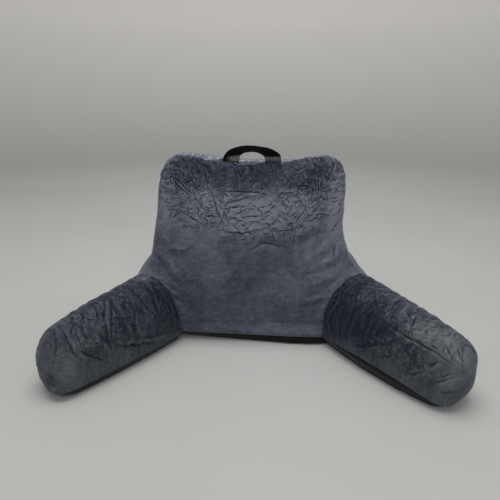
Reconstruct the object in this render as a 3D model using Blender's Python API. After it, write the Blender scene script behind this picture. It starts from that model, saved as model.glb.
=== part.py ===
"""A reading pillow with arms: a filled backrest, two filled arms and a carry strap.

Units are metres. +Z is up, the front faces -Y, and the pillow stands on z = 0. The origin is the
middle of the backrest's flat underside.
"""

import math

import bmesh
import bpy
from mathutils import Vector

GAP = 0.0003  # left between pieces that touch

# Backrest: a wedge that leans back, crowned in front, with soft corners that stand up at the top.
BACKREST_MIDDLE_HEIGHT = 0.20
BACKREST_PRESSED = 0.012  # how much of its round underside is pressed flat
BACKREST_SQUARE_TOP = 8.5  # squareness of the upper half of its outline; 2 would be an ellipse
BACKREST_SQUARE_BASE = 7.0
BACKREST_AROUND = 72
BACKREST_LEVELS = (
    # height, half_width, front_y, back_y
    (0.000, 0.262, -0.162, 0.118),
    (0.080, 0.284, -0.156, 0.122),
    (0.140, 0.284, -0.146, 0.120),
    (0.190, 0.253, -0.130, 0.117),
    (0.270, 0.231, -0.105, 0.111),
    (0.350, 0.230, -0.080, 0.102),
    (0.430, 0.225, -0.058, 0.092),
)
BACKREST_TOP = (
    # across as a share of the half width, height
    (0.00, 0.413),
    (0.45, 0.417),
    (0.80, 0.433),
    (1.00, 0.440),
)
BACKREST_RINGS = (
    # reach as a share of the outline, depth as a share of the way from front to back
    (0.16, 0.000),
    (0.34, 0.004),
    (0.52, 0.018),
    (0.69, 0.040),
    (0.83, 0.074),
    (0.925, 0.122),
    (0.975, 0.195),
    (0.994, 0.310),
    (1.000, 0.460),
    (0.995, 0.600),
    (0.972, 0.730),
    (0.925, 0.830),
    (0.840, 0.900),
    (0.700, 0.950),
    (0.500, 0.980),
    (0.260, 0.996),
)

# Arms: bolsters that lie on the floor and splay outwards, thickest where they are sewn on.
ARM_AROUND = 32
ARM_ROUND_TOP = 2.05  # squareness of the upper half of a section
ARM_ROUND_UNDER = 3.6  # squareness of the lower half, which the floor presses flat
ARM_WAIST = 0.41  # height of the widest line as a share of the section's height
ARM_PRESSED = 0.006
ARM_LENGTH = 0.370  # from the middle of the seat inside the backrest to the end cap's seam
ARM_STEPS = 10
ARM_CAP = 0.050  # how far the round end cap bulges past its seam
ARM_CAP_RINGS = 6
ARM_CAP_BLUNTNESS = 0.85  # 1 would be an ellipsoid, and less is blunter
SEAT_BASE = 0.022  # below this height an arm stops at the backrest's side and isn't under its rim
ARM_SECTIONS = (
    # along as a share of the length, width, height
    (0.00, 0.172, 0.170),
    (0.25, 0.170, 0.168),
    (0.38, 0.164, 0.163),
    (0.55, 0.154, 0.156),
    (0.78, 0.138, 0.148),
    (1.00, 0.118, 0.136),
)
ARM_PLACES = (
    # node name, side, root_x, root_y, splay in degrees from straight ahead, extra length
    ("arm_left", -1, 0.168, -0.006, 33.0, 0.000),
    ("arm_right", 1, 0.186, -0.026, 33.5, -0.006),
)

# Carry strap: flat fabric sewn in at two feet on the top edge. Its broad face is upright at the
# feet, and it twists as it crosses, so that its outer edge leans forwards over the middle.
STRAP_THICKNESS = 0.0036
STRAP_STEPS = 36
STRAP_EDGES = (
    # share of the way, then x, y and height of the outer edge, and of the inner edge
    (0.00, -0.0670, -0.036, 0.388, -0.0300, -0.036, 0.388),
    (0.14, -0.0680, -0.038, 0.424, -0.0300, -0.034, 0.419),
    (0.30, -0.0500, -0.046, 0.444, -0.0240, -0.022, 0.432),
    (0.45, -0.0200, -0.048, 0.452, -0.0120, -0.014, 0.438),
    (0.58, 0.0180, -0.048, 0.451, 0.0100, -0.014, 0.438),
    (0.73, 0.0470, -0.046, 0.444, 0.0220, -0.022, 0.432),
    (0.87, 0.0660, -0.038, 0.431, 0.0290, -0.034, 0.419),
    (1.00, 0.0660, -0.036, 0.388, 0.0290, -0.036, 0.388),
)
STRAP_RING = (
    # share from the outer edge to the inner edge, thickness above and below the middle
    (0.00, 0.55),
    (0.50, 1.00),
    (1.00, 0.55),
    (1.00, -0.55),
    (0.50, -1.00),
    (0.00, -0.55),
)

BACKREST_COLOUR = (0.055, 0.062, 0.082, 1.0)
ARM_COLOUR = (0.048, 0.054, 0.072, 1.0)
STRAP_COLOUR = (0.030, 0.032, 0.042, 1.0)
VELVET_ROUGHNESS = 0.9


def clear_scene():
    for thing in list(bpy.data.objects):
        bpy.data.objects.remove(thing, do_unlink=True)


def velvet(name, colour):
    material = bpy.data.materials.new(name)
    material.use_nodes = True
    shader = material.node_tree.nodes["Principled BSDF"]
    shader.inputs["Base Color"].default_value = colour
    shader.inputs["Roughness"].default_value = VELVET_ROUGHNESS
    shader.inputs["Metallic"].default_value = 0.0
    return material


def smooth_row(rows, at):
    """The columns after the first of a table, at a value of its first column, on smooth curves."""
    at = min(max(at, rows[0][0]), rows[-1][0])
    step = next(i for i in range(len(rows) - 1) if at <= rows[i + 1][0])
    before, low, high, after = (rows[min(max(step + k, 0), len(rows) - 1)] for k in (-1, 0, 1, 2))
    span = high[0] - low[0]
    t = (at - low[0]) / span
    values = []
    for column in range(1, len(low)):
        rise_low = (high[column] - before[column]) / (high[0] - before[0]) * span
        rise_high = (after[column] - low[column]) / (after[0] - low[0]) * span
        values.append(
            (2 * t**3 - 3 * t**2 + 1) * low[column]
            + (t**3 - 2 * t**2 + t) * rise_low
            + (3 * t**2 - 2 * t**3) * high[column]
            + (t**3 - t**2) * rise_high
        )
    return values


def rounded(angle, squareness):
    """The point of a superellipse that reaches 1 each way, in a direction from its middle."""
    across, up = math.cos(angle), math.sin(angle)
    reach = (abs(across) ** squareness + abs(up) ** squareness) ** (-1 / squareness)
    return across * reach, up * reach


def lofted_mesh(name, rings, first_point, last_point):
    """A closed mesh through rings of points, closed to a point at each end."""
    shape = bmesh.new()
    loops = [[shape.verts.new(point) for point in ring] for ring in rings]
    for loop, following in zip(loops, loops[1:]):
        for k in range(len(loop)):
            after = (k + 1) % len(loop)
            shape.faces.new((loop[k], loop[after], following[after], following[k]))
    for loop, point in ((loops[0][::-1], first_point), (loops[-1], last_point)):
        tip = shape.verts.new(point)
        for k in range(len(loop)):
            shape.faces.new((loop[k], loop[(k + 1) % len(loop)], tip))
    bmesh.ops.triangulate(shape, faces=shape.faces[:])
    bmesh.ops.recalc_face_normals(shape, faces=shape.faces[:])
    mesh = bpy.data.meshes.new(name)
    shape.to_mesh(mesh)
    shape.free()
    return mesh


def add_object(name, mesh, colour):
    thing = bpy.data.objects.new(name, mesh)
    bpy.context.scene.collection.objects.link(thing)
    mesh.materials.append(velvet(name + "_velvet", colour))
    mesh.shade_smooth()
    return thing


def backrest_point(across, up, depth):
    """A point of the backrest, from its outline shares and its share of the way to the back."""
    if up > 0:
        top = smooth_row(BACKREST_TOP, abs(across))[0]
        height = BACKREST_MIDDLE_HEIGHT + up * (top - BACKREST_MIDDLE_HEIGHT)
    else:
        height = BACKREST_MIDDLE_HEIGHT + up * (BACKREST_MIDDLE_HEIGHT + BACKREST_PRESSED)
    height = max(height, 0.0)
    half_width, front, back = smooth_row(BACKREST_LEVELS, height)
    return Vector((across * half_width, front + depth * (back - front), height))


def backrest_mesh(name):
    rings = []
    for reach, depth in BACKREST_RINGS:
        ring = []
        for k in range(BACKREST_AROUND):
            angle = 2 * math.pi * k / BACKREST_AROUND
            squareness = BACKREST_SQUARE_TOP if math.sin(angle) > 0 else BACKREST_SQUARE_BASE
            across, up = rounded(angle, squareness)
            ring.append(backrest_point(across * reach, up * reach, depth))
        rings.append(ring)
    return lofted_mesh(name, rings, backrest_point(0, 0, 0), backrest_point(0, 0, 1))


def arm_ring(width, height, shrink):
    """One section of an arm, across and up, drawn in towards its waist by a share."""
    waist = height * ARM_WAIST
    ring = []
    for k in range(ARM_AROUND):
        angle = 2 * math.pi * k / ARM_AROUND
        squareness = ARM_ROUND_TOP if math.sin(angle) > 0 else ARM_ROUND_UNDER
        across, up = rounded(angle, squareness)
        rise = (height - waist) if up > 0 else waist + ARM_PRESSED
        ring.append((across * width / 2 * shrink, max(waist + up * rise * shrink, 0.0)))
    return ring


def arm_mesh(name, side, root_x, root_y, splay, extra_length):
    length = ARM_LENGTH + extra_length
    ahead = Vector((side * math.sin(math.radians(splay)), -math.cos(math.radians(splay)), 0))
    sideways = Vector((-ahead.y, ahead.x, 0))
    root = Vector((side * root_x, root_y, 0))

    def place(along, across, up):
        return root + ahead * along + sideways * across + Vector((0, 0, up))

    stations = [(k / ARM_STEPS * length, 1.0) for k in range(ARM_STEPS + 1)]
    for k in range(1, ARM_CAP_RINGS):
        turn = math.pi / 2 * k / ARM_CAP_RINGS
        stations.append((length + ARM_CAP * math.sin(turn), math.cos(turn) ** ARM_CAP_BLUNTNESS))
    rings = []
    for along, shrink in stations:
        width, height = smooth_row(ARM_SECTIONS, along / length)
        rings.append([place(along, *point) for point in arm_ring(width, height, shrink)])
    first_waist = ARM_SECTIONS[0][2] * ARM_WAIST
    last_waist = ARM_SECTIONS[-1][2] * ARM_WAIST
    return lofted_mesh(name, rings, place(0, 0, first_waist), place(length + ARM_CAP, 0, last_waist))


def strap_mesh(name):
    edges = []
    for k in range(STRAP_STEPS + 1):
        row = smooth_row(STRAP_EDGES, k / STRAP_STEPS)
        edges.append((Vector(row[:3]), Vector(row[3:])))
    middles = [(outer + inner) / 2 for outer, inner in edges]
    rings = []
    for k, (outer, inner) in enumerate(edges):
        along = middles[min(k + 1, STRAP_STEPS)] - middles[max(k - 1, 0)]
        out = along.cross(inner - outer).normalized() * STRAP_THICKNESS / 2
        rings.append([outer.lerp(inner, share) + out * rise for share, rise in STRAP_RING])
    return lofted_mesh(name, rings, middles[0], middles[-1])


def swell(mesh, distance):
    """Moves each vertex out along its normal."""
    normals = [vertex.normal.copy() for vertex in mesh.vertices]
    for vertex, normal in zip(mesh.vertices, normals):
        vertex.co += normal * distance


def square_off_base(mesh, height):
    """Drops the low vertices below the floor, so that nothing is left under the rounded rim."""
    for vertex in mesh.vertices:
        if vertex.co.z < height:
            vertex.co.z = -height


def add_seat_cutter():
    """The backrest's own shape, a gap larger, that cuts the seats of the arms and the strap."""
    mesh = backrest_mesh("seat_cutter")
    swell(mesh, GAP)
    square_off_base(mesh, SEAT_BASE)
    seat = add_object("seat_cutter", mesh, BACKREST_COLOUR)
    seat.hide_render = True
    seat.display_type = "WIRE"
    return seat


def cut_away(thing, cutter):
    cut = thing.modifiers.new("seat", "BOOLEAN")
    cut.operation = "DIFFERENCE"
    cut.solver = "EXACT"
    cut.object = cutter


def main():
    clear_scene()
    add_object("backrest", backrest_mesh("backrest"), BACKREST_COLOUR)
    seat = add_seat_cutter()
    for place in ARM_PLACES:
        cut_away(add_object(place[0], arm_mesh(*place), ARM_COLOUR), seat)
    cut_away(add_object("carry_strap", strap_mesh("carry_strap"), STRAP_COLOUR), seat)


main()
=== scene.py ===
"""Reading pillow with arms: the fine visual model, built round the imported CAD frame."""
import math

import bmesh
import bpy
import numpy as np
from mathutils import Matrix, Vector, noise
from mathutils.bvhtree import BVHTree
from mathutils.kdtree import KDTree


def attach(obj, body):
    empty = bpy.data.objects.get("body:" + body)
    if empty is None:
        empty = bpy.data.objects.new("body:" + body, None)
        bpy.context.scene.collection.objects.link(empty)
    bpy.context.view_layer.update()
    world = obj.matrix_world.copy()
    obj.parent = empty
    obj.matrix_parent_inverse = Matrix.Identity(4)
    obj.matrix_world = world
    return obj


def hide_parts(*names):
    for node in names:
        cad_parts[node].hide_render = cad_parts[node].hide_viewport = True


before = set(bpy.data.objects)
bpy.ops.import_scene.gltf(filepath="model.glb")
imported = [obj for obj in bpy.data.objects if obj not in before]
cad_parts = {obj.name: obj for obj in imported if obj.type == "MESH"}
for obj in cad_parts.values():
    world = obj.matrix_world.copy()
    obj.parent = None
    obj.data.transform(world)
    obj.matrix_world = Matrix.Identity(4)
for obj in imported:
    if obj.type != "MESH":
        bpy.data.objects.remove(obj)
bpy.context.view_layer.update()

# ---------------------------------------------------------------- sizes, in metres

CAMERA_AT = (0.0308, -0.9895, 0.534)
CAMERA_PITCH = 19.4  # degrees below the horizon
CAMERA_TURN = 2.1  # degrees to the left of straight ahead
CAMERA_LENS = 28.8  # millimetres, on a sensor 36 mm wide

BACKREST_VOXEL = 0.0055
ARM_VOXEL = 0.0040
SMOOTH_ROUNDS = 14
PIECE_TRIANGLES = 190000  # most that one piece may have
# The base panel is near-black, partly its own dark cloth and partly painted shade under the edge.
BACKREST_BASE_SEAM = 0.0195  # height of the seam between the velvet and the dark base panel
BASE_STEP = 0.0022  # how far the velvet stands out over the base panel at that seam

# The front panel is crackled above this line, and smooth below it: x and height.
CRACKLE_EDGE = (
    (-0.240, 0.300), (-0.154, 0.279), (-0.082, 0.248), (0.000, 0.228),
    (0.090, 0.240), (0.184, 0.280), (0.240, 0.330),
)

# Main creases of the front panel, in mm: depth, width, then x and height of their points.
PANEL_CREASES = (
    (2.2, 1.7, (-79, 273), (-65, 268), (-42, 265), (-16, 264), (7, 269), (31, 274)),
    (1.9, 1.6, (-74, 316), (-56, 316), (-36, 319), (-17, 321), (0, 317)),
    (1.7, 1.7, (-56, 336), (-33, 335), (-11, 341), (19, 343)),
    (1.4, 1.7, (-76, 354), (-34, 353), (12, 351), (50, 343)),
    (1.9, 1.5, (-52, 298), (-28, 295)),
    (2.0, 1.7, (-15, 298), (4, 300), (21, 299)),
    (1.9, 1.5, (30, 306), (46, 316), (58, 330)),
    (2.0, 1.7, (-94, 359), (-85, 334), (-80, 313), (-62, 281)),
    (2.0, 1.5, (-65, 316), (-57, 298), (-49, 283)),
    (2.0, 1.7, (-153, 305), (-138, 297), (-114, 282)),
    (1.9, 1.7, (-182, 376), (-165, 361), (-135, 340)),
    (2.2, 1.7, (-197, 400), (-183, 385), (-162, 367), (-128, 339)),
    (1.7, 1.7, (-115, 412), (-107, 389), (-102, 365)),
    (1.9, 1.6, (103, 361), (116, 366), (137, 364)),
    (1.7, 1.6, (64, 350), (98, 351)),
    (1.9, 1.5, (97, 324), (87, 311), (84, 302)),
    (1.9, 1.5, (113, 318), (100, 305), (87, 296)),
    (2.0, 1.5, (63, 298), (52, 287), (42, 278)),
    (1.9, 1.5, (29, 285), (42, 281), (37, 272)),
    (1.9, 1.5, (103, 287), (78, 283)),
    (1.9, 1.5, (60, 266), (88, 272), (102, 272)),
    (0.7, 1.9, (-6, 220), (10, 231), (30, 241), (56, 237), (82, 234)),
    (2.9, 2.0, (185, 419), (187, 408), (185, 396)),
    (2.6, 2.0, (204, 418), (207, 412), (203, 404)),
    (2.6, 2.0, (140, 419), (145, 411), (164, 405)),
    (1.9, 1.9, (210, 283), (196, 264)),
    (1.9, 1.9, (207, 232), (200, 210)),
)

# Creases beside the strap's left foot and beside the panel's right seam, in the same columns.
EDGE_CREASES = (
    (1.3, 1.6, (-32, 402), (-33, 389), (-31, 372), (-31, 358)),
    (2.6, 1.8, (-66, 411), (-52, 409), (-38, 403)),
    (2.6, 2.0, (234, 226), (235, 212), (240, 197), (247, 180)),
)

# Soft folds that pull across the panel from the arms' seams and from its sides.
PANEL_FOLDS = (
    (4.1, 8.8, (130, 182), (144, 191), (173, 208), (203, 234)),
    (3.6, 8.8, (98, 233), (140, 253), (180, 271)),
    (3.8, 7.7, (125, 170), (174, 181), (214, 195)),
    (3.4, 7.7, (120, 122), (164, 141), (205, 160)),
    (2.5, 6.6, (122, 101), (156, 108), (180, 115)),
    (2.9, 7.7, (-218, 245), (-199, 227), (-180, 205)),
    (3.4, 7.7, (-225, 200), (-195, 174), (-168, 147)),
    (2.9, 6.1, (-190, 128), (-161, 110), (-130, 101)),
    (2.7, 6.1, (-195, 146), (-163, 126), (-135, 115)),
)

# Where the cover's outline differs from the CAD outline. Top edge: x and how much higher it stands.
TOP_RISE = (
    (-0.200, 0.004), (-0.160, 0.007), (-0.120, 0.010), (-0.070, 0.009), (-0.030, 0.005),
    (0.030, 0.004), (0.090, 0.003), (0.140, 0.002), (0.200, 0.001),
)
# Sides: height, and how far the left and the right side stand out.
SIDE_SHIFT = (
    (0.090, 0.000, 0.000), (0.123, 0.010, 0.017), (0.147, 0.006, 0.000), (0.170, 0.004, 0.000),
    (0.190, 0.000, -0.006), (0.213, 0.003, -0.007), (0.235, 0.007, -0.008), (0.277, 0.008, -0.007),
    (0.300, 0.005, -0.003), (0.330, 0.003, -0.003), (0.360, 0.001, 0.000), (0.400, -0.002, 0.003),
)
# Foot of the front: height, and share of its reach forwards; then x and that reach.
BASE_FORWARD = (
    (0.000, 1.75), (0.006, 1.38), (0.012, 1.05), (0.020, 0.70),
    (0.030, 0.58), (0.042, 0.32), (0.056, 0.00),
)
BASE_REACH = ((-0.157, 0.002), (0.000, 0.0135), (0.100, 0.0215), (0.180, 0.024))

# Seam of the front panel, from one side over the top to the other: x, y and height in mm.
PANEL_SEAM = np.array((
    (-268, -120, 140), (-252, -108, 180), (-232, -96, 220), (-219, -78, 270), (-217, -63, 310),
    (-218, -48, 355), (-213, -38, 385), (-198, -39, 407), (-183, -28, 422), (-171, -27, 422),
    (-156, -29, 421), (-137, -32, 417), (-119, -34, 412), (-108, -39, 407), (-87, -33, 410),
    (-67, -25, 411), (-52, -33, 409), (-35, -42, 402), (-18, -41, 402), (1, -40, 403), (28, -31, 409),
    (48, -31, 409), (67, -32, 409), (100, -22, 414), (131, -13, 420), (152, -16, 423), (173, -17, 425),
    (193, -28, 418), (207, -32, 404), (214, -36, 385), (218, -48, 355), (217, -63, 310),
    (219, -78, 270), (232, -96, 220), (252, -108, 180), (268, -120, 140),
)) / 1000

# Patches where the front panel is painted paler (+) or darker (-): x, height, reach each way, amount.
PANEL_TONE = (
    (0.000, 0.386, 0.160, 0.040, -1.40),
    (-0.160, 0.408, 0.062, 0.030, -0.6),
    (0.165, 0.408, 0.060, 0.030, -0.6),
    (0.000, 0.330, 0.230, 0.050, 0.60),
    (0.005, 0.318, 0.085, 0.028, 1.3),
    (-0.130, 0.320, 0.070, 0.030, 0.9),
    (0.125, 0.325, 0.075, 0.036, 0.4),
    (-0.010, 0.276, 0.140, 0.022, 0.7),
    (0.212, 0.345, 0.032, 0.075, 2.4),
    (-0.216, 0.345, 0.026, 0.065, 1.2),
    (-0.030, 0.165, 0.150, 0.050, -0.30),
    (0.170, 0.215, 0.060, 0.050, 0.35),
    (-0.210, 0.255, 0.040, 0.040, -0.2),
    (-0.155, 0.090, 0.060, 0.050, -0.6),
    (0.000, 0.034, 0.240, 0.016, 0.4),
)

# Main creases of each arm, in mm: depth, width, then points given by how far along the arm
# they are, and how far round it from its top towards the seat.
LEFT_ARM_CREASES = (
    (3.7, 4.3, (142, 15), (159, 39), (163, 59), (168, 78), (173, 100)),
    (2.8, 3.3, (155, 54), (156, 73), (147, 93), (140, 115)),
    (2.2, 2.8, (164, 8), (172, 29), (175, 50), (181, 77)),
    (1.6, 2.8, (211, 28), (218, 50), (231, 69), (242, 84), (246, 127)),
    (1.7, 2.5, (225, 12), (238, 39), (246, 57)),
    (1.9, 2.8, (243, 2), (266, 28), (278, 50), (292, 73), (301, 104)),
    (2.2, 2.8, (261, -3), (278, 25), (294, 46), (300, 68), (305, 92), (305, 126)),
    (2.0, 2.7, (293, -1), (299, 22), (308, 45), (322, 58)),
    (1.9, 2.7, (319, -3), (328, 27), (340, 42), (342, 62)),
    (2.0, 2.8, (339, -5), (353, 25), (370, 46)),
    (2.9, 3.2, (374, 6), (379, 35), (379, 57), (379, 81), (376, 97), (367, 118)),
    (1.9, 2.7, (365, 91), (353, 111), (339, 126), (324, 142)),
    (1.6, 3.0, (301, 110), (281, 125), (255, 136), (228, 143), (201, 152)),
    (1.5, 3.0, (248, 123), (205, 139), (168, 144), (141, 148)),
    (1.4, 2.5, (277, 56), (263, 67), (240, 76)),
    (1.9, 2.3, (417, 201), (413, 186), (406, 179)),
)
RIGHT_ARM_CREASES = (
    (2.5, 2.8, (230, 60), (257, 65), (292, 68), (327, 67), (362, 68), (390, 70)),
    (2.1, 2.7, (304, 64), (298, 57), (297, 42), (293, 26), (291, 6)),
    (2.2, 3.0, (203, 64), (217, 79), (229, 97), (235, 109)),
    (2.5, 3.2, (145, 19), (162, 47), (174, 71), (176, 94), (179, 111)),
    (2.9, 3.2, (123, 77), (136, 92), (148, 108), (156, 129)),
    (2.1, 2.8, (105, 119), (112, 133), (119, 148)),
    (2.7, 3.0, (142, 64), (158, 83), (168, 102), (174, 123)),
    (2.9, 3.2, (113, 47), (119, 70), (121, 89)),
    (1.7, 2.8, (195, 142), (226, 129), (252, 114), (273, 103)),
    (1.4, 2.7, (261, 137), (276, 128), (288, 117)),
    (1.9, 2.7, (223, 51), (204, 34), (187, 18)),
    (1.9, 2.7, (245, 38), (237, 10), (233, -8)),
    (1.9, 2.5, (269, 18), (287, 31), (296, 42)),
    (1.7, 2.3, (382, 24), (392, 35), (397, 44)),
    (1.7, 2.3, (361, 35), (377, 48), (388, 60)),
    (2.1, 2.1, (387, 119), (392, 105), (398, 95)),
    (2.0, 2.1, (374, 142), (389, 129), (400, 116), (408, 92)),
    (1.9, 2.1, (393, 158), (403, 162), (411, 174)),
    (1.6, 2.3, (360, 108), (368, 88), (373, 78)),
    (1.4, 2.3, (308, 129), (321, 129), (332, 127)),
    (1.4, 2.5, (320, 147), (337, 136), (351, 123)),
)

# Patches where an arm is painted paler (+) or darker (-): along, round, reach each way, amount.
LEFT_ARM_TONE = (
    (0.160, 0.060, 0.035, 0.080, -0.9),
    (0.152, 0.004, 0.018, 0.018, 2.9),
    (0.260, 0.085, 0.090, 0.040, -0.35),
    (0.250, 0.000, 0.120, 0.035, -0.30),
    (0.260, 0.165, 0.200, 0.030, 0.40),
    (0.395, 0.120, 0.035, 0.060, 0.8),
)
RIGHT_ARM_TONE = (
    (0.130, 0.080, 0.045, 0.080, -0.9),
    (0.220, 0.090, 0.080, 0.045, -1.05),
    (0.340, 0.030, 0.070, 0.034, 1.4),
    (0.260, 0.165, 0.160, 0.026, 0.3),
    (0.400, 0.120, 0.045, 0.070, 1.2),
    (0.410, 0.010, 0.030, 0.050, 0.9),
)

# Where each arm's outline differs from the CAD outline, by how far along the arm: share by which it
# is taller, how far its foot stands out towards the seat, and height of its base seam.
LEFT_ARM_FORM = (
    (0.100, 0.000, 0.001, 0.021), (0.200, 0.010, 0.004, 0.022), (0.300, 0.010, 0.004, 0.021),
    (0.360, 0.000, 0.002, 0.019), (0.385, 0.000, 0.000, 0.018), (0.415, 0.000, 0.000, 0.013),
)
RIGHT_ARM_FORM = (
    (0.100, 0.020, 0.003, 0.023), (0.160, 0.032, 0.008, 0.030), (0.220, 0.030, 0.011, 0.034),
    (0.300, 0.030, 0.009, 0.031), (0.360, 0.025, 0.002, 0.021), (0.385, 0.012, 0.000, 0.014),
    (0.415, 0.000, 0.000, 0.006),
)
# How much shorter an arm's tip is: at its top, its middle, and its foot's outer and seatward side.
ARM_TRIM = {-1: (0.007, 0.003, 0.001, -0.010), 1: (0.001, 0.007, 0.008, 0.003)}

# Seam of an arm's round end panel, from its top towards the seat: along and round.
CAP_SEAM = ((0.385, 0.000), (0.402, 0.055), (0.411, 0.100), (0.416, 0.150), (0.417, 0.200))

STRAP_THICKNESS = 0.0036
STRAP_WIDTH = 0.037
STRAP_EDGES = (
    # x, y and height of the outer edge, and of the inner edge, from one foot to the other
    (-0.0672, -0.022, 0.400, -0.0300, -0.026, 0.392),
    (-0.0676, -0.034, 0.424, -0.0298, -0.033, 0.416),
    (-0.0600, -0.042, 0.4385, -0.0280, -0.028, 0.4285),
    (-0.0480, -0.046, 0.4465, -0.0235, -0.022, 0.4340),
    (-0.0230, -0.048, 0.4540, -0.0120, -0.016, 0.4378),
    (0.0040, -0.048, 0.4545, 0.0010, -0.014, 0.4388),
    (0.0345, -0.046, 0.4505, 0.0190, -0.018, 0.4350),
    (0.0560, -0.042, 0.4420, 0.0270, -0.026, 0.4300),
    (0.0682, -0.034, 0.4290, 0.0306, -0.031, 0.4220),
    (0.0684, -0.022, 0.400, 0.0308, -0.022, 0.394),
)
STRAP_TURN = 0.429  # below this height the strap is painted pale, for the light its lower ends catch
STRAP_TURN_SLOPE = 0.12  # how steeply that height changes across the left foot

# ---------------------------------------------------------------- mesh helpers


def numbers_of(items, key, columns, kind=np.float32):
    flat = np.empty(len(items) * columns, kind)
    items.foreach_get(key, flat)
    return flat.reshape(-1, columns)


def points_of(mesh):
    return numbers_of(mesh.vertices, "co", 3).astype(np.float64)


def normals_of(mesh):
    return numbers_of(mesh.vertices, "normal", 3).astype(np.float64)


def edges_of(mesh):
    return numbers_of(mesh.edges, "vertices", 2, np.int32)


def set_points(mesh, points):
    mesh.vertices.foreach_set("co", points.astype(np.float32).ravel())
    mesh.update()


def add_layers(mesh, **layers):
    """Keeps numbers for each point, for the material."""
    for name, values in layers.items():
        layer = mesh.attributes.new(name, "FLOAT", "POINT")
        layer.data.foreach_set("value", values.astype(np.float32))


def smoothed(points, edges, rounds, share=0.5):
    """Evens out a cage by moving each point towards the middle of its neighbours."""
    count = np.bincount(edges.ravel(), minlength=len(points)).astype(float)
    for _ in range(rounds):
        total = np.empty_like(points)
        for axis in range(3):
            column = points[:, axis]
            total[:, axis] = np.bincount(edges[:, 0], column[edges[:, 1]], len(points))
            total[:, axis] += np.bincount(edges[:, 1], column[edges[:, 0]], len(points))
        points = points + share * (total / count[:, None] - points)
    return points


def evaluated_copy(piece):
    """The piece's mesh as its modifiers leave it."""
    graph = bpy.context.evaluated_depsgraph_get()
    return bpy.data.meshes.new_from_object(piece.evaluated_get(graph))


def keep_modifiers(piece):
    """Applies every modifier of a piece."""
    mesh = evaluated_copy(piece)
    piece.modifiers.clear()
    piece.data = mesh


def add_piece(name, data):
    piece = bpy.data.objects.new(name, data)
    bpy.context.scene.collection.objects.link(piece)
    return piece


def add_shape(name, shape):
    """A piece with a bmesh's faces."""
    mesh = bpy.data.meshes.new(name)
    shape.to_mesh(mesh)
    shape.free()
    return add_piece(name, mesh)


def remeshed(name, node, voxel):
    """A new piece with a CAD node's shape in even quads."""
    piece = add_piece(name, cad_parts[node].data.copy())
    piece.data.materials.clear()
    remesh = piece.modifiers.new("even quads", "REMESH")
    remesh.mode = "VOXEL"
    remesh.voxel_size = voxel
    keep_modifiers(piece)
    mesh = piece.data
    set_points(mesh, smoothed(points_of(mesh), edges_of(mesh), SMOOTH_ROUNDS))
    return piece


def refine(mesh, chosen):
    """Splits the chosen faces in four."""
    shape = bmesh.new()
    shape.from_mesh(mesh)
    shape.faces.ensure_lookup_table()
    faces = [face for face in shape.faces if chosen(face.calc_center_median(), face.normal)]
    edges = list({edge for face in faces for edge in face.edges})
    bmesh.ops.subdivide_edges(shape, edges=edges, cuts=1, use_grid_fill=True, smooth=0.0)
    shape.to_mesh(mesh)
    shape.free()
    mesh.update()


def subdivided(piece):
    """Smooths a piece and splits each of its faces in four."""
    smooth = piece.modifiers.new("smooth", "SUBSURF")
    smooth.levels = smooth.render_levels = 1
    keep_modifiers(piece)
    return piece.data


def thinned(piece):
    """Joins the faces that show least until the piece has no more than its share of triangles."""
    triangles = sum(len(face.vertices) - 2 for face in piece.data.polygons)
    if triangles > PIECE_TRIANGLES:
        fewer = piece.modifiers.new("fewer", "DECIMATE")
        fewer.ratio = PIECE_TRIANGLES / triangles
        keep_modifiers(piece)


def ease(value, low, high):
    t = np.clip((value - low) / (high - low), 0, 1)
    return t * t * (3 - 2 * t)


def bell(value):
    """1 where the value is 0, and falling to 0 on both sides."""
    return np.exp(-value ** 2)


def soft_noise(points, size, seed):
    """Smooth noise from -1 to 1 whose bumps are about this size."""
    shift = Vector((seed * 7.3, seed * 3.1, seed * 5.7))
    return np.array([noise.noise(Vector(p) / size + shift) for p in points])


# ---------------------------------------------------------------- cloth

SIM_FRAMES = 19
SIM_RAMP = 10
COVER_CLOTH = {
    "quality": 5,
    "mass": 0.3,
    "tension_stiffness": 40,
    "compression_stiffness": 40,
    "shear_stiffness": 10,
    "use_pressure": True,
    "uniform_pressure_force": 1.0,
    "pin_stiffness": 1,
}


def crumple(piece, stuffed, cut, hold, bend):
    """Simulates a cover that was cut larger than its filling. It starts at its cut size, settles
    on the stuffed shape where it is held, and the spare cloth folds up where it is held loosely."""
    mesh = piece.data
    piece.shape_key_add(name="cut")
    goal = piece.shape_key_add(name="stuffed")
    keys = mesh.shape_keys
    keys.key_blocks["cut"].data.foreach_set("co", cut.astype(np.float32).ravel())
    goal.data.foreach_set("co", stuffed.astype(np.float32).ravel())
    for frame_number, value in ((1, 0.0), (SIM_RAMP, 1.0)):
        goal.value = value
        goal.keyframe_insert("value", frame=frame_number)
    group = piece.vertex_groups.new(name="held")
    levels = np.round(hold, 2)
    for level in np.unique(levels):
        group.add(np.flatnonzero(levels == level).tolist(), float(level), "REPLACE")
    cloth = piece.modifiers.new("cover", "CLOTH")
    settings = cloth.settings
    for key, value in COVER_CLOTH.items():
        setattr(settings, key, value)
    settings.bending_stiffness = bend
    settings.effector_weights.gravity = 0
    settings.vertex_group_mass = "held"
    cloth.collision_settings.use_collision = False
    cloth.point_cache.frame_start = 1
    cloth.point_cache.frame_end = SIM_FRAMES
    for frame_number in range(1, SIM_FRAMES + 1):
        bpy.context.scene.frame_set(frame_number)
    settled = points_of(evaluated_copy(piece))
    piece.modifiers.clear()
    keys.animation_data_clear()
    piece.shape_key_clear()
    bpy.context.scene.frame_set(1)
    return settled


# ---------------------------------------------------------------- creases

CREASE_STEP = 0.002
CREASE_CELL = 0.0032
CREASE_WOBBLE = 0.0022
CREASE_WOBBLE_SIZE = 0.012
CREASE_LIFT = 0.30  # height of the ridge beside a crease, as a share of the crease's depth


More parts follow.
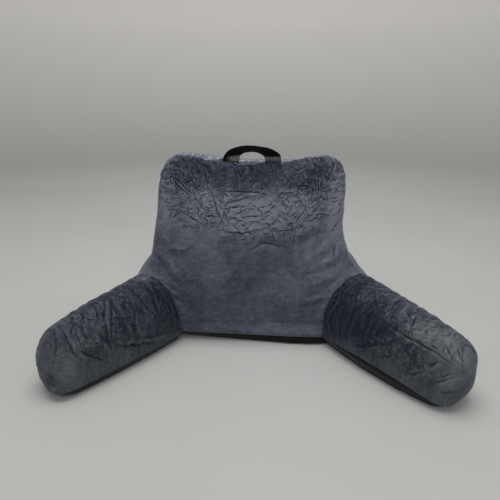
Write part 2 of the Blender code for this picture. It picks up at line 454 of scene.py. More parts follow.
def smooth_line(points, steps=6):
    """A smooth curve through points, as closely spaced points."""
    points = np.array(points, float)
    ends = np.vstack([2 * points[0] - points[1], points, 2 * points[-1] - points[-2]])
    curve = [points[0]]
    for k in range(1, len(ends) - 2):
        before, low, high, after = ends[k - 1:k + 3]
        curved = 2 * before - 5 * low + 4 * high - after
        twisted = 3 * low - before - 3 * high + after
        for step in range(1, steps + 1):
            t = step / steps
            curve.append(0.5 * (2 * low + (high - before) * t + curved * t**2 + twisted * t**3))
    return np.array(curve)


def nearest_on(line, places):
    """Each place's distance from a line of points, how far along the line its nearest point is,
    and on which side of the line it lies, seen along the last axis of a flat view."""
    gap = np.full(len(places), 9.0)
    along = np.zeros(len(places))
    side = np.zeros(len(places))
    done = 0.0
    for start, end in zip(line, line[1:]):
        way = end - start
        length = np.linalg.norm(way)
        if length < 1e-9:
            continue
        off = places - start
        t = np.clip(off @ way / length**2, 0, 1)
        distance = np.linalg.norm(off - t[:, None] * way, axis=1)
        nearer = distance < gap
        gap[nearer] = distance[nearer]
        along[nearer] = done + t[nearer] * length
        side[nearer] = np.sign(way[0] * off[nearer, 1] - way[1] * off[nearer, 0])
        done += length
    return gap, along, side


def by_hand(rows):
    """Creases from a table of depth, width and points in mm, each a little uneven."""
    creases = []
    for number, (depth, width, *line) in enumerate(rows):
        line = smooth_line(np.array(line) / 1000)
        for point in line:
            at = Vector((point[0], point[1], 0.01 * number)) / CREASE_WOBBLE_SIZE
            point += CREASE_WOBBLE * np.array((noise.noise(at), noise.noise(at + Vector((0, 0, 9)))))
        creases.append((depth * 0.001, width * 0.001, min(1.0, depth / 1.9), 1 - 2 * (number % 2), line))
    return creases


def grown(rng, creases, low, high, tries, flow, stock):
    """More creases, which grow both ways from chance places along the cloth's pull, until they meet
    another. stock gives how likely one is at a place, and its length, depth and width."""
    taken = {}

    def cell(point):
        return tuple(np.floor(point / CREASE_CELL).astype(int))

    for number, (*_, line) in enumerate(creases):
        for start, end in zip(line, line[1:]):
            for share in np.linspace(0, 1, 6):
                taken[cell(start + share * (end - start))] = number
    low, high = np.array(low), np.array(high)
    more = []
    for number in range(len(creases), len(creases) + tries):
        place = low + rng.random(2) * (high - low)
        chance, spin, bow = rng.random(), rng.normal(), rng.normal()
        size, lean = rng.random(), rng.random()
        likely, length, depth, width = stock(place)
        depth *= 0.50 + 0.95 * rng.random()
        if chance > likely or cell(place) in taken:
            continue
        heading = flow(place) + 0.55 * spin
        if lean < 0.28:
            heading += 1.2 + 0.7 * (lean / 0.28)
            length *= 0.6
        length *= 0.45 + 0.7 * size + 2.0 * size ** 6
        halves = []
        for way in (1, -1):
            point, turn, half = place, heading, []
            for _ in range(int(length / 2 / CREASE_STEP)):
                turn += way * 0.018 * bow + 0.13 * rng.normal()
                point = point + way * CREASE_STEP * np.array((math.cos(turn), math.sin(turn)))
                half.append(point)
                if taken.get(cell(point), number) != number:
                    break
            halves.append(half)
        line = np.array(halves[1][::-1] + [place] + halves[0])
        if len(line) < 4:
            continue
        for point in line:
            taken[cell(point)] = number
        more.append((depth, width, min(1.0, depth / 0.0014), 2 * lean - 1, line))
    return creases + more


def sunk(flat, facing, creases, spread=0.006):
    """How far creases in a flat view sink each point, how much painted shade they lay on it, and
    which way the pile lies on each side of the nearest one."""
    valley, ridge, shade, brush = np.zeros((4, len(flat)))
    nearest = np.full(len(flat), 9.0)
    for depth, width, darkness, lean, line in creases:
        reach = max(4 * width, 3 * spread)
        near = facing & (flat > line.min(0) - reach).all(1) & (flat < line.max(0) + reach).all(1)
        near = np.flatnonzero(near)
        if len(near) == 0:
            continue
        gap, along, side = nearest_on(line, flat[near])
        length = np.linalg.norm(np.diff(line, axis=0), axis=1).sum()
        taper = np.sin(np.pi * np.clip(along / length, 0.05, 0.95)) ** 0.6
        beat, start = 2.0 * width, 90 * line[0].sum()
        taper *= 0.82 + 0.20 * np.sin(along / beat + start) + 0.14 * np.sin(2.6 * along / beat + 2 * start)
        valley[near] = np.maximum(valley[near], depth * taper * np.exp(-(gap / width) ** 1.6))
        rise = bell((gap / width - 2.0) / 0.8) * (1 + 0.6 * side)
        ridge[near] = np.maximum(ridge[near], depth * CREASE_LIFT * taper * rise)
        shade[near] = np.maximum(shade[near], darkness * taper * bell(gap / width))
        closer = gap < nearest[near]
        nearest[near[closer]] = gap[closer]
        ends = np.sin(np.pi * np.clip(along / length, 0, 1))
        brush[near[closer]] = (lean * side * ends * np.exp(-gap / spread))[closer]
    return valley - ridge, shade, brush


def gathers(along, size, seed):
    """Uneven puckers by their place along a seam, from -1 to 1."""
    fine = np.array([noise.noise(Vector((s / size, seed, 0.3))) for s in along])
    broad = np.array([noise.noise(Vector((s / size / 2.7, seed + 4.0, 0.7))) for s in along])
    return np.clip(1.5 * fine + 0.7 * broad, -1, 1)


def patch_tone(flat, patches):
    """How much paler or darker each point is painted, from a table of soft patches."""
    nap = np.zeros(len(flat))
    for first, second, reach_first, reach_second, amount in patches:
        gap = ((flat[:, 0] - first) / reach_first) ** 2 + ((flat[:, 1] - second) / reach_second) ** 2
        nap += amount * np.exp(-gap)
    return nap


def read_off(table, at, column=1):
    """A column of a table at values of its first column, on straight lines between its rows."""
    table = np.array(table)
    return np.interp(at, table[:, 0], table[:, column])


# ---------------------------------------------------------------- materials


class Nodes:
    """Short calls for building a material's node tree."""

    def __init__(self, name):
        self.material = bpy.data.materials.new(name)
        self.material.use_nodes = True
        self.tree = self.material.node_tree
        self.shader = self.tree.nodes["Principled BSDF"]

    def add(self, kind, inputs=(), **settings):
        """A new node, with its inputs set by name and its settings."""
        node = self.tree.nodes.new(kind)
        for key, value in settings.items():
            setattr(node, key, value)
        self.fill(node, dict(inputs))
        return node

    def fill(self, node, inputs):
        for name, value in inputs.items():
            self.give(node.inputs[name], value)

    def give(self, socket, value):
        """Sets a socket to a number or a colour, or links it to another node's output."""
        if isinstance(value, (int, float, tuple)):
            socket.default_value = value
        else:
            self.tree.links.new(value, socket)

    def position(self):
        return self.add("ShaderNodeTexCoord").outputs["Object"]

    def stretched(self, vector, size, turn=0.0):
        """Coordinates for a noise whose bumps have these sizes along axes turned about upright."""
        inputs = {"Vector": vector, "Scale": size, "Rotation": (0, 0, turn)}
        return self.add("ShaderNodeMapping", inputs, vector_type="TEXTURE").outputs["Vector"]

    def noise(self, vector, scale, detail=4.0, roughness=0.55, distortion=0.0):
        inputs = {"Vector": vector, "Scale": scale, "Detail": detail}
        inputs.update({"Roughness": roughness, "Distortion": distortion})
        return self.add("ShaderNodeTexNoise", inputs).outputs["Fac"]

    def facets(self, vector, size):
        """Cells of about this size with wavy borders: a chance tone for each, and its border lines."""
        inputs = {"Vector": vector, "Scale": 0.5 / size, "Detail": 2.0}
        bend = self.add("ShaderNodeTexNoise", inputs).outputs["Color"]
        bent = self.add("ShaderNodeVectorMath", operation="MULTIPLY_ADD")
        for socket, value in zip(bent.inputs, (bend, (1.6 * size,) * 3, vector)):
            self.give(socket, value)
        inputs = {"Vector": bent.outputs[0], "Scale": 1 / size}
        cells = self.add("ShaderNodeTexVoronoi", inputs)
        borders = self.add("ShaderNodeTexVoronoi", inputs, feature="DISTANCE_TO_EDGE")
        tone = self.add("ShaderNodeSeparateColor", {"Color": cells.outputs["Color"]})
        lines = self.ramp(borders.outputs["Distance"], 0.0, 0.12, 1.0, 0.0)
        return self.ramp(tone.outputs[0], 0.0, 1.0, -1.0, 1.0), lines

    def attribute(self, name):
        return self.add("ShaderNodeAttribute", attribute_name=name).outputs["Fac"]

    def math(self, operation, first, second=None, third=None):
        node = self.add("ShaderNodeMath", operation=operation)
        for socket, value in zip(node.inputs, (first, second, third)):
            if value is not None:
                self.give(socket, value)
        return node.outputs[0]

    def total(self, *weighted):
        """The sum of values, each times its weight."""
        value = 0.0
        for source, weight in weighted:
            value = self.math("MULTIPLY_ADD", source, weight, value)
        return value

    def ramp(self, value, low, high, to_low=0.0, to_high=1.0):
        inputs = {"Value": value, "From Min": low, "From Max": high}
        inputs.update({"To Min": to_low, "To Max": to_high})
        return self.add("ShaderNodeMapRange", inputs).outputs["Result"]

    def blotches(self, *noise_settings):
        """Noise whose usual range is spread over -1 to 1."""
        return self.ramp(self.noise(*noise_settings), 0.3, 0.7, -1.0, 1.0)

    def mix(self, factor, first, second):
        node = self.add("ShaderNodeMix", data_type="RGBA")
        self.fill(node, {"Factor": factor, "A": first, "B": second})
        return node.outputs["Result"]


def velvet(name, deep, pale, grain, turn=0.0, sheen=0.28):
    """Short-pile velvet: dark where the pile faces the eye, paler or darker in painted patches,
    with painted shade in hollows and a painted highlight on ridges, nearly black with painted shade
    in creases, seams and puckers, near-white with a painted highlight where the lamp grazes the top,
    and with sheen at grazing angles. The grain is the size of the marks that the pile's brushing
    leaves. Where crushed is high the pile lies in facets, whose borders carry painted shade, and where
    skirt is below nought it is the flat base panel: near-black cloth that also stands for the shade
    under the cushion's edge."""
    make = Nodes(name)
    here = make.position()
    patches = make.blotches(here, 15.0, 3.0, 0.6, 0.5)
    marks = make.blotches(make.stretched(here, grain, turn), 1.0, 4.0, 0.65, 0.6)
    mottle = make.blotches(here, 120.0, 4.0, 0.7, 0.4)
    flecks = make.blotches(here, 420.0, 3.0, 0.65)
    crushed = make.attribute("crushed")
    facet, border = make.facets(here, FACET_SIZE)
    facet = make.math("MULTIPLY", facet, crushed)
    border = make.math("MULTIPLY", border, crushed)
    brush = make.total(
        (facet, 0.15),
        # Pile tone together with painted light and painted shade.
        (make.attribute("nap"), 0.38),
        (patches, 0.17),
        (marks, 0.17),
        (mottle, 0.13),
        (flecks, 0.06),
        # Painted shade in hollows and painted highlight on ridges.
        (make.attribute("hollow"), -0.30),
    )
    colour = make.mix(make.math("POWER", make.ramp(brush, -0.8, 0.5), 1.75), deep, pale)
    # Painted highlight: where the layer runs highest the pile turns near-white.
    colour = make.mix(make.ramp(make.attribute("nap"), 2.0, 4.5, 0.0, 0.65), colour, PILE_HIGHLIGHT)
    # Painted shade: creases, seams, puckers and the facets' borders darken the pile to near-black.
    crease = make.math("MULTIPLY_ADD", border, 0.24, make.attribute("crease"))
    colour = make.mix(make.ramp(crease, 0.0, 1.0, 0.0, 0.9), colour, PILE_CREASE_SHADE)
    # The base panel: near-black cloth that also stands for the shade under the cushion's edge.
    colour = make.mix(make.ramp(make.attribute("skirt"), 0.0, -0.0008), colour, BASE_CLOTH_AND_SHADE)
    fibres = make.noise(here, 900.0, 2.0, 0.7)
    bump = make.add("ShaderNodeBump", {"Height": fibres, "Strength": 0.4, "Distance": 0.001})
    make.fill(make.shader, {
        "Base Color": colour,
        "Roughness": 0.92,
        "Specular IOR Level": 0.18,
        "Sheen Weight": sheen,
        "Sheen Roughness": 0.38,
        "Sheen Tint": (0.80, 0.86, 1.0, 1.0),
        "Normal": bump.outputs["Normal"],
    })
    return make.material


PILE_DEEP = (0.015, 0.018, 0.034, 1.0)
PILE_PALE = (0.172, 0.186, 0.226, 1.0)
ARM_DEEP = (0.012, 0.014, 0.027, 1.0)
ARM_PALE = (0.146, 0.161, 0.174, 1.0)
# Near-black painted shade for creases, seams and puckers.
PILE_CREASE_SHADE = (0.007, 0.007, 0.012, 1.0)
# Near-white painted highlight.
PILE_HIGHLIGHT = (0.46, 0.47, 0.49, 1.0)
# Base cloth, near-black partly as painted shade.
BASE_CLOTH_AND_SHADE = (0.010, 0.010, 0.010, 1.0)
# Near-black painted shade and pale painted light for the strap.
STRAP_SHADED = (0.003, 0.003, 0.005, 1.0)
STRAP_LIT = (0.165, 0.170, 0.180, 1.0)
PANEL_GRAIN = (0.022, 0.022, 0.010)
FACET_SIZE = 0.0075  # facets into which crushed pile breaks up
ARM_GRAIN = (0.026, 0.009, 0.026)

# ---------------------------------------------------------------- pieces


def dress(piece, node, material):
    piece.data.materials.clear()
    piece.data.materials.append(material)
    piece.data.shade_smooth()
    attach(piece, "root")
    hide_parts(node)


def hollow_of(mesh):
    """How far each point lies below the even surface round it, in millimetres, which the velvet
    turns into painted shade in hollows and a painted highlight on ridges.
    """
    points, edges, normals = points_of(mesh), edges_of(mesh), normals_of(mesh)
    return ((smoothed(points, edges, 8) - points) * normals).sum(1) * 1000


BACKREST_BEND = 4.0
PANEL_CROWN = 0.50  # height of the middle of the arcs that the panel's creases follow
PANEL_GROWN = ((-0.222, 0.22), (0.222, 0.425), 1500)  # corners of where creases grow, and tries
SEAM_TOP = PANEL_SEAM[PANEL_SEAM[:, 2] > 0.40]
BACK_SEAM_MIDDLE = (0.0, 0.05, 0.20)  # a place inside the backrest that the seam runs round
BACK_SEAM_INSET = 0.016  # how far the back panel's seam lies inside the outline
BACK_SEAM_END = 0.58  # angle below level at which the seam meets the base, in radians
SEAM_BAND = 0.009  # faces this near to that seam are made finer


def above_edge(x, z):
    """How far above the crackle's lower edge a place of the front panel is."""
    edge = smooth_line(CRACKLE_EDGE)
    return z - np.interp(x, edge[:, 0], edge[:, 1])


def in_front_panel(place, normal):
    return normal.y < -0.12 or place.z > 0.37 and place.y < 0.03


def in_crackle(place, normal):
    """Whether a face is in the crackled part of the front, or at its foot where the base seam is."""
    if place.z < 0.034:
        return normal.y < -0.15
    if place.z > 0.39 and place.y < 0.012:
        return True
    return normal.y < -0.15 and abs(place.x) < 0.225 and above_edge(place.x, place.z) > -0.008


def panel_flow(place):
    return math.atan2(place[0], PANEL_CROWN - place[1])


def panel_stock(place):
    x, z = abs(place[0]), place[1]
    above = float(above_edge(place[0], z))
    outer = float(ease(x, 0.05, 0.13))
    corner = float(ease(x, 0.09, 0.17) * ease(z, 0.33, 0.39))
    calm = float(ease(z, 0.340, 0.365) * (1 - ease(x, 0.06, 0.12)))
    likely = float(ease(above, -0.01, 0.06)) * (0.35 + 0.55 * outer + 0.40 * corner)
    likely = likely * (1 - 0.6 * calm) + 0.012
    length = 0.024 - 0.008 * corner
    depth = (0.0014 + 0.0004 * corner) * (1 - 0.4 * calm) * (0.4 + 0.6 * float(ease(above, -0.02, 0.03)))
    return likely, length, depth, 0.00125 + 0.0002 * corner


def back_seam():
    """Points of the seam round the back panel, a little inside its outline, from foot to foot."""
    shell = BVHTree.FromPolygons(*cad_polygons("backrest"))
    line = []
    for turn in np.linspace(-BACK_SEAM_END, math.pi + BACK_SEAM_END, 70):
        way = Vector((-math.cos(turn), 0, math.sin(turn)))
        rim = shell.ray_cast(Vector(BACK_SEAM_MIDDLE), way)[0] - way * BACK_SEAM_INSET
        line.append(shell.ray_cast(Vector((rim.x, 0.3, rim.z)), Vector((0, -1, 0)))[0])
    return np.array(line)


def reshaped_backrest(points):
    """Moves the cover to the outline that the real one has."""
    x, y, z = points.T.copy()
    points = points.copy()
    points[:, 2] += read_off(TOP_RISE, x) * ease(z, 0.36, 0.41)
    stand_out = np.where(x < 0, -read_off(SIDE_SHIFT, z, 1), read_off(SIDE_SHIFT, z, 2))
    points[:, 0] += stand_out * ease(np.abs(x), 0.06, 0.20)
    forward = read_off(BASE_FORWARD, z) * read_off(BASE_REACH, x) * ease(-y, 0.06, 0.12)
    points[:, 1] -= forward
    return points


def make_backrest():
    piece = remeshed("backrest_cushion", "backrest", BACKREST_VOXEL)
    mesh = piece.data
    refine(mesh, in_front_panel)
    stuffed = smoothed(points_of(mesh), edges_of(mesh), 4)
    set_points(mesh, stuffed)
    normals = normals_of(mesh)
    z = stuffed[:, 2]
    above = above_edge(stuffed[:, 0], z)
    front = ease(-normals[:, 1], 0.1, 0.5)
    loose = front * ease(above, -0.012, 0.030)
    hold = 0.75 - 0.53 * loose
    hold = np.where(front < 0.5, np.minimum(hold, 0.45), hold)
    hold = np.maximum(hold, 1 - ease(z, 0.004, 0.020))
    cut = stuffed.copy()
    cut[:, 0] *= 1.09
    cut[:, 1] *= 1.05
    cut[:, 2] += 0.13 * (z - 0.2)
    cut += normals * 0.0006 * soft_noise(stuffed, 0.014, 3)[:, None]
    settled = crumple(piece, stuffed, cut, hold, BACKREST_BEND)
    kept = 0.45 - front * (0.07 + 0.2 * (1 - ease(above, -0.02, 0.08)))
    set_points(mesh, stuffed + kept[:, None] * (settled - stuffed))
    seam = back_seam()
    spots = smooth_line(seam, 7)
    tree = KDTree(len(spots))
    for number, point in enumerate(spots):
        tree.insert(point, number)
    tree.balance()
    refine(mesh, lambda place, normal: in_crackle(place, normal) or tree.find(place)[2] < SEAM_BAND)
    edges = edges_of(mesh)
    points = smoothed(points_of(mesh), edges, 2)
    set_points(mesh, points)
    finish_backrest(piece, seam)


def base_step(normals, skirt):
    """How far each point below the base seam lies inside the velvet; skirt is its height over it."""
    depth = BASE_STEP * ease(-skirt, -0.001, 0.001) * (np.abs(normals[:, 2]) < 0.9)
    return normals * depth[:, None]


def arm_seam_highlight(points, facing):
    """How near each point of the front is to the arms, where a painted highlight lines the seam's edge."""
    near = np.flatnonzero(facing & (np.abs(points[:, 0]) > 0.13) & (points[:, 2] < 0.20))
    seam_highlight = np.zeros(len(points))
    for node in ("arm_left", "arm_right"):
        arm = BVHTree.FromPolygons(*cad_polygons(node))
        for number in near:
            gap = arm.find_nearest(Vector(points[number]), 0.03)[3]
            if gap is not None:
                seam_highlight[number] = max(seam_highlight[number], math.exp(-((gap - 0.002) / 0.0028) ** 2))
    return seam_highlight


def finish_backrest(piece, back_line):
    """Creases, seams and pile of the backrest's cover, with painted shade in its creases, seams and
    puckers, and painted light on its top band and along the arms' seams.
    """
    mesh = piece.data
    points, normals = points_of(mesh), normals_of(mesh)
    flat = points[:, [0, 2]]
    facing = normals[:, 1] < -0.1
    rng = np.random.default_rng(11)
    creases = grown(rng, by_hand(PANEL_CREASES), *PANEL_GROWN, panel_flow, panel_stock)
    sink, shade, brush = sunk(flat, facing, creases + by_hand(EDGE_CREASES))
    fold, _, _ = sunk(flat, facing, by_hand(PANEL_FOLDS))
    sink += fold

    near = np.flatnonzero((points[:, 2] > 0.10) & (points[:, 1] < 0.06))
    gap, along, _ = nearest_on(smooth_line(PANEL_SEAM, 4), points[near])
    top = ease(points[near, 2], 0.37, 0.40)
    corner = ease(np.abs(points[near, 0]), 0.12, 0.19) * ease(points[near, 2], 0.33, 0.39)
    pucker = gathers(along, 0.008, 2.0) * (0.0010 + 0.0010 * top + 0.0016 * corner)
    pucker *= np.exp(-gap / (0.010 + 0.010 * corner))
    groove = 0.0022 * bell(gap / 0.0022)
    edge = 0.0040 * top * bell(gap / 0.009)
    sink[near] += groove - pucker - edge
    # Painted shade along the front seam's groove and in its puckers.
    shade[near] = np.maximum(shade[near], (0.5 + 0.3 * top) * bell(gap / 0.0018))
    shade[near] = np.maximum(shade[near], np.clip(-pucker / 0.0045, 0, 0.45))
    # Painted light on the top band behind the front seam, where the overhead lamp grazes the pile.
    behind = np.zeros(len(points))
    past = points[near, 1] - read_off(SEAM_TOP, points[near, 0])
    behind[near] = ease(past, 0.0, 0.004) * (1 - ease(past, 0.025, 0.065))
    behind[near] *= ease(points[near, 2], 0.38, 0.41)

    near = np.flatnonzero(points[:, 1] > 0.03)
    gap, along, _ = nearest_on(back_line, points[near])
    pucker = gathers(along, 0.012, 6.0) * 0.0013 * np.exp(-gap / 0.012)
    sink[near] += 0.0026 * bell(gap / 0.0035) - pucker
    # Painted shade along the back seam's groove.
    shade[near] = np.maximum(shade[near], 0.35 * bell(gap / 0.0028))

    rumple = 0.55 * soft_noise(points, 0.022, 31) + 0.35 * soft_noise(points, 0.009, 32)
    crushed = ease(above_edge(*flat.T), -0.03, 0.05) * facing
    rumple *= crushed
    sink -= 0.0005 * rumple
    # Pile tone plus painted light; the rumple's bulges are painted paler, partly a painted highlight.
    nap = patch_tone(flat, PANEL_TONE) * facing + brush + 0.8 * rumple
    # Painted highlight on that band: pale, paler inside the strap's loop, with near-white glints.
    glint = soft_noise(points, 0.007, 34)
    lit = 0.9 + 0.9 * bell(points[:, 0] / 0.07) + 1.6 * glint + 2.6 * ease(glint, 0.1, 0.4)
    nap = nap + behind * (lit - nap)
    # Painted highlight along the upper part of the arms' seams.
    nap += 0.7 * arm_seam_highlight(points, facing) * ease(points[:, 2], 0.04, 0.11)
    points -= normals * sink[:, None]
    skirt = points[:, 2] - BACKREST_BASE_SEAM
    points -= base_step(normals, skirt)
    set_points(mesh, reshaped_backrest(points))
    add_layers(mesh, hollow=hollow_of(mesh), crease=shade, nap=nap, crushed=crushed, skirt=skirt)
    thinned(piece)
    pile = velvet("backrest_pile", PILE_DEEP, PILE_PALE, PANEL_GRAIN)
    dress(piece, "backrest", pile)


ARM_BEND = 7.0
ARM_DARKER = 0.58  # how much darker the arms' pile lies than the panel's
ROOT_DRAWN = 0.010  # how far an arm is drawn in where it is sewn to the backrest
ARM_LENGTH = 0.370
ARM_OUTER_SEAM = 0.010  # height of an arm's base seam on the side away from the seat
ARM_GIRTH = 0.075  # radius that turns an angle round an arm into a length
ARM_GROWN = ((0.09, -0.16), (0.39, 0.17), 1100)  # corners of where creases grow, and tries
ARMS = (
    # CAD node, side, root x, root y, splay in degrees, then creases, tone patches and outline
    ("arm_left", -1, 0.168, -0.006, 33.0, LEFT_ARM_CREASES, LEFT_ARM_TONE, LEFT_ARM_FORM),
    ("arm_right", 1, 0.186, -0.026, 33.5, RIGHT_ARM_CREASES, RIGHT_ARM_TONE, RIGHT_ARM_FORM),
)


def arm_axes(side, root_x, root_y, turn):
    """An arm's root, its direction, and the level direction from it towards the seat."""
    ahead = np.array((side * math.sin(turn), -math.cos(turn), 0.0))
    inward = np.array((-side * math.cos(turn), -math.sin(turn), 0.0))
    return np.array((side * root_x, root_y, 0.0)), ahead, inward


def arm_flow(place):
    return math.pi / 2


def arm_stock(place):
    along, round_ = place
    on_top = float(1 - ease(abs(round_ - 0.03), 0.06, 0.11))
    likely = (0.04 + 0.50 * on_top) * (1 - 0.8 * float(ease(along, 0.34, 0.385)))
    return likely, 0.024, 0.0004 + 0.0005 * on_top, 0.0019


def make_arm(node, side, root_x, root_y, splay, creases, patches, form):
    piece = remeshed(node + "_bolster", node, ARM_VOXEL)
    mesh = piece.data
    stuffed = points_of(mesh)
    normals = normals_of(mesh)
    turn = math.radians(splay)
    root, ahead, inward = arm_axes(side, root_x, root_y, turn)
    along = (stuffed - root) @ ahead
    across = (stuffed - root) @ inward
    z = stuffed[:, 2]
    hold = 0.22 + 0.5 * (1 - ease(z, 0.025, 0.055)) + 0.5 * ease(along, ARM_LENGTH - 0.03, ARM_LENGTH)
    hold = np.clip(hold, 0, 1)
    hold = np.maximum(hold, 1 - ease(z, 0.004, 0.015))
    cut = stuffed + np.outer((along - 0.22) * 0.20, ahead) + np.outer(across * 0.06, inward)
    cut[:, 2] += (z - 0.07) * 0.06
    cut += normals * 0.0006 * soft_noise(stuffed, 0.016, 5 + side)[:, None]
    settled = crumple(piece, stuffed, cut, hold, ARM_BEND)
    kept = 0.34 - 0.20 * ease(along, 0.31, 0.38)
    set_points(mesh, stuffed + kept[:, None] * (settled - stuffed))
    mesh = subdivided(piece)

    points, normals = points_of(mesh), normals_of(mesh)
    along = (points - root) @ ahead
    across = (points - root) @ inward
    round_ = np.arctan2(across, points[:, 2] - ARM_GIRTH) * ARM_GIRTH
    flat = np.column_stack([along, round_])
    rng = np.random.default_rng(21 + side)
    lines = grown(rng, by_hand(creases), *ARM_GROWN, arm_flow, arm_stock)
    sink, shade, brush = sunk(flat, along > 0.02, lines, 0.008)
    from_pole = ease(np.hypot(across, points[:, 2] - ARM_GIRTH), 0.018, 0.046)
    onto_cap = from_pole * (1 - 0.6 * ease(along, 0.386, 0.404))
    sink *= onto_cap
    shade *= 0.8 * onto_cap
    streaks = np.column_stack([along / 0.010, round_ / 0.034, np.zeros(len(points))])
    rumple = soft_noise(streaks, 1.0, 41 + side) + 0.5 * soft_noise(streaks * 2.3, 1.0, 44 + side)
    crushed = (1 - ease(np.abs(round_ - 0.03), 0.07, 0.12)) * (1 - ease(along, 0.34, 0.40))
    rumple *= crushed
    sink -= 0.0010 * rumple

    seam = smooth_line(CAP_SEAM)
    gap, place, _ = nearest_on(seam, np.column_stack([along, np.abs(round_)]))
    pucker = gathers(round_, 0.010, 9.0 + side) * 0.0014 * np.exp(-gap / 0.014) * from_pole
    sink += 0.0016 * bell(gap / 0.0024) * from_pole - pucker
    # Painted shade along the end panel's seam.
    shade = np.maximum(shade, 0.45 * bell(gap / 0.0022) * from_pole)

    back = BVHTree.FromPolygons(*cad_polygons("backrest"))
    root_gap = np.full(len(points), 1.0)
    for number in np.flatnonzero((along < 0.30) & (points[:, 2] > 0.004)):
        root_gap[number] = back.find_nearest(Vector(points[number]), 0.09)[3] or 0.09
    pucker = gathers(round_, 0.0085, 5.0 + side) * 0.0040 * np.exp(-root_gap / 0.022)
    pucker *= ease(points[:, 2], 0.01, 0.04)
    sink -= pucker
    seatward = 0.25 + 0.75 * ease(round_, 0.0, 0.05)
    sink += ROOT_DRAWN * seatward * np.exp(-root_gap / 0.020) * ease(points[:, 2], 0.01, 0.05)
    # Painted shade in the root's puckers and where the arm meets the backrest.
    shade = np.maximum(shade, np.clip(-pucker / 0.0040, 0, 0.7))
    shade = np.maximum(shade, 0.35 * np.exp(-root_gap / 0.010))

    # The rumple's bulges are painted paler, partly a painted highlight on them.
    nap = patch_tone(flat, patches) + 0.5 * brush + 0.5 * rumple
    # Painted shade where the arm meets the backrest, added to the arms' overall darker tone.
    nap -= 0.9 * np.exp(-root_gap / 0.030) + ARM_DARKER
    points -= normals * sink[:, None]
    seatward = read_off(form, along, 3) - ARM_OUTER_SEAM
    skirt = points[:, 2] - (ARM_OUTER_SEAM + seatward * ease(across, -0.02, 0.02))
    points -= base_step(normals, skirt)
    set_points(mesh, reshaped_arm(points, root, ahead, inward, form, ARM_TRIM[side]))
    add_layers(mesh, hollow=hollow_of(mesh), crease=shade, nap=nap, crushed=crushed, skirt=skirt)
    dress(piece, node, velvet(node + "_pile", ARM_DEEP, ARM_PALE, ARM_GRAIN, side * turn))


def cad_polygons(node):
    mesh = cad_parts[node].data
    return [vertex.co for vertex in mesh.vertices], [list(face.vertices) for face in mesh.polygons]


def reshaped_arm(points, root, ahead, inward, form, trim):
    """Moves an arm's cover to the outline that the real one has."""
    along = (points - root) @ ahead
    across = (points - root) @ inward
    z = points[:, 2]
    foot = read_off(form, along, 2) * (1 - ease(z, 0.02, 0.06)) + 0.006 * (1 - ease(z, 0.0, 0.014))
    foot *= ease(across, 0.02, 0.05)
    top, middle, outer, seatward = trim
    low = outer + ease(across, -0.03, 0.035) * (seatward - outer)
    to_middle, to_top = ease(z, 0.015, 0.05), ease(z, 0.07, 0.11)
    shorter = (low + to_middle * (middle - low) + to_top * (top - middle)) * ease(along, 0.33, 0.405)
    points = points + np.outer(foot, inward) - np.outer(shorter, ahead)
    points[:, 2] *= 1 + read_off(form, along, 1) * ease(z, 0.03, 0.12)
    return points


STRAP_ACROSS = 14


def make_strap():
    """The carry strap: flat folded cloth, hemmed along both edges, that twists as it crosses. Its
    middle is painted near-black for the shade it lies in, and its lower ends pale for the light they catch.
    """
    stations = smooth_line(STRAP_EDGES, 10)
    middles = (stations[:, :3] + stations[:, 3:]) / 2
    ways = np.gradient(middles, axis=0)
    shares = (1 - np.cos(np.linspace(0, np.pi, STRAP_ACROSS))) / 2
    shape = bmesh.new()
    rings = []
    for station, way in zip(stations, ways):
        outer, inner = station[:3], station[3:]
        upright = np.cross(inner - outer, way)
        upright /= np.linalg.norm(upright)
        ring = []
        for face, order in ((1, shares), (-1, shares[::-1])):
            for share in order:
                edge = min(share, 1 - share) * STRAP_WIDTH
                thick = STRAP_THICKNESS / 2 * (0.25 + 0.75 * min(1.0, edge / 0.0015) ** 0.5)
                thick -= 0.0005 * math.exp(-((edge - 0.0050) / 0.0010) ** 2)
                place = outer + share * (inner - outer) + face * thick * upright
                place = place + upright * 0.0007 * noise.noise(Vector(place) / 0.012)
                ring.append(shape.verts.new(place))
        rings.append(ring)
    for low, high in zip(rings, rings[1:]):
        for k, corner in enumerate(low):
            after = (k + 1) % len(low)
            shape.faces.new((corner, low[after], high[after], high[k]))
    shape.faces.new(rings[0][::-1])
    shape.faces.new(rings[-1])
    bmesh.ops.recalc_face_normals(shape, faces=shape.faces)
    piece = add_shape("carry_strap_loop", shape)
    mesh = subdivided(piece)
    points = points_of(mesh)
    x, z = points[:, 0], points[:, 2]
    turn = STRAP_TURN + 0.0015 * soft_noise(points, 0.008, 51)
    turn += np.where(x < 0, STRAP_TURN_SLOPE * (x + 0.05), 0.0)
    # Painted light on the strap's lower ends; the rest stays near-black as painted shade.
    lit_feet = 1 - ease(z, turn - 0.001, turn + 0.002)
    lit_feet *= np.where(x < 0, ease(x, -0.066, -0.046), 1.0) * ease(z, 0.408, 0.424)
    none = np.zeros(len(points))
    add_layers(mesh, hollow=none, crease=none, nap=3.3 * lit_feet - 2.2, crushed=none, skirt=none + 1)
    pile = velvet("strap_pile", STRAP_SHADED, STRAP_LIT, PANEL_GRAIN, 0.0, 0.05)
    dress(piece, "carry_strap", pile)


make_backrest()
for arm in ARMS:
    make_arm(*arm)
make_strap()

# ---------------------------------------------------------------- studio

STAGE_FLAT = 2.2
STAGE_RADIUS = 3.4
STAGE_HEIGHT = 3.0
STAGE_AROUND = 96
STAGE_RINGS = 24
STAGE_FLOOR_COLOURS = ((0.47, 0.47, 0.455, 1), (0.50, 0.50, 0.485, 1))
STAGE_BEND_COLOUR = (0.40, 0.40, 0.385, 1)
STAGE_WALL_COLOUR = (0.78, 0.76, 0.73, 1)


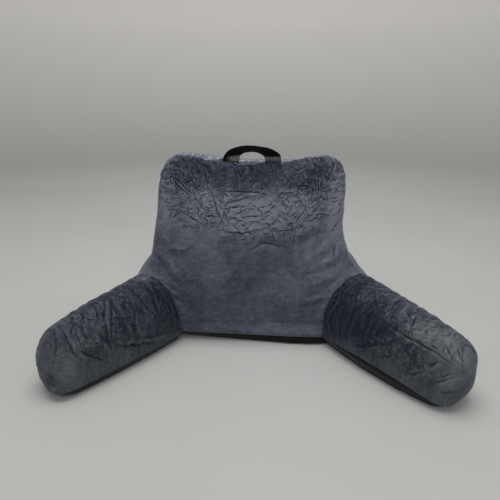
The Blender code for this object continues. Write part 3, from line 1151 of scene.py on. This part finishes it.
def add_stage():
    """A pale floor that curves up into a round wall, far outside every view's camera."""
    shape = bmesh.new()
    middle = shape.verts.new((0, 0, 0))
    rings = []
    profile = [(STAGE_FLAT * 0.5, 0.0), (STAGE_FLAT, 0.0)]
    bend = STAGE_RADIUS - STAGE_FLAT
    for k in range(1, STAGE_RINGS + 1):
        turn = math.pi / 2 * k / STAGE_RINGS
        profile.append((STAGE_FLAT + bend * math.sin(turn), bend * (1 - math.cos(turn))))
    profile.append((STAGE_RADIUS, STAGE_HEIGHT))
    for reach, height in profile:
        ring = []
        for k in range(STAGE_AROUND):
            angle = 2 * math.pi * k / STAGE_AROUND
            ring.append(shape.verts.new((reach * math.cos(angle), reach * math.sin(angle), height)))
        rings.append(ring)
    for k in range(STAGE_AROUND):
        after = (k + 1) % STAGE_AROUND
        shape.faces.new((middle, rings[0][k], rings[0][after]))
        for low, high in zip(rings, rings[1:]):
            shape.faces.new((low[k], high[k], high[after], low[after]))
    floor = add_shape("studio_floor", shape)
    floor.data.shade_smooth()
    make = Nodes("pale_floor")
    tone = make.noise(make.position(), 1.6, 3.0)
    colour = make.mix(make.ramp(tone, 0.3, 0.7), *STAGE_FLOOR_COLOURS)
    height = make.add("ShaderNodeSeparateXYZ", {"Vector": make.position()}).outputs["Z"]
    colour = make.mix(make.ramp(height, 0.0, 0.10), colour, STAGE_BEND_COLOUR)
    colour = make.mix(make.ramp(height, 0.15, 1.3), colour, STAGE_WALL_COLOUR)
    make.fill(make.shader, {"Base Color": colour, "Roughness": 0.6, "Specular IOR Level": 0.25})
    floor.data.materials.append(make.material)


def add_area_light(name, place, aim, size, power, colour):
    data = bpy.data.lights.new(name, "AREA")
    data.shape = "RECTANGLE"
    data.size, data.size_y = size
    data.energy = power
    data.color = colour
    light = add_piece(name, data)
    light.location = place
    light.rotation_mode = "QUATERNION"
    light.rotation_quaternion = (Vector(aim) - Vector(place)).to_track_quat("-Z", "Y")


def add_world(colour, strength):
    world = bpy.data.worlds.new("studio_air")
    world.use_nodes = True
    background = world.node_tree.nodes["Background"]
    background.inputs["Color"].default_value = colour
    background.inputs["Strength"].default_value = strength
    bpy.context.scene.world = world


add_stage()
add_area_light("overhead_softbox", (0.0, -0.15, 2.4), (0.0, -0.05, 0.0), (1.8, 1.4), 31.0, (1.0, 0.99, 0.97))
add_area_light("front_softbox", (0.3, -2.3, 1.7), (0.0, 0.0, 0.2), (2.0, 1.2), 12.0, (1.0, 0.99, 0.98))
add_area_light("wall_softbox", (0.0, 1.6, 2.5), (0.0, 3.3, 1.0), (2.4, 0.8), 9.0, (1.0, 0.98, 0.96))
add_world((0.80, 0.82, 0.86, 1.0), 0.62)
bpy.context.scene.view_settings.view_transform = "Standard"

camera_data = bpy.data.cameras.new("camera")
camera_data.lens = CAMERA_LENS
camera_data.sensor_width = 36.0
camera = add_piece("camera", camera_data)
camera.location = CAMERA_AT
camera.rotation_euler = (math.radians(90 - CAMERA_PITCH), 0, math.radians(CAMERA_TURN))
bpy.context.scene.camera = camera
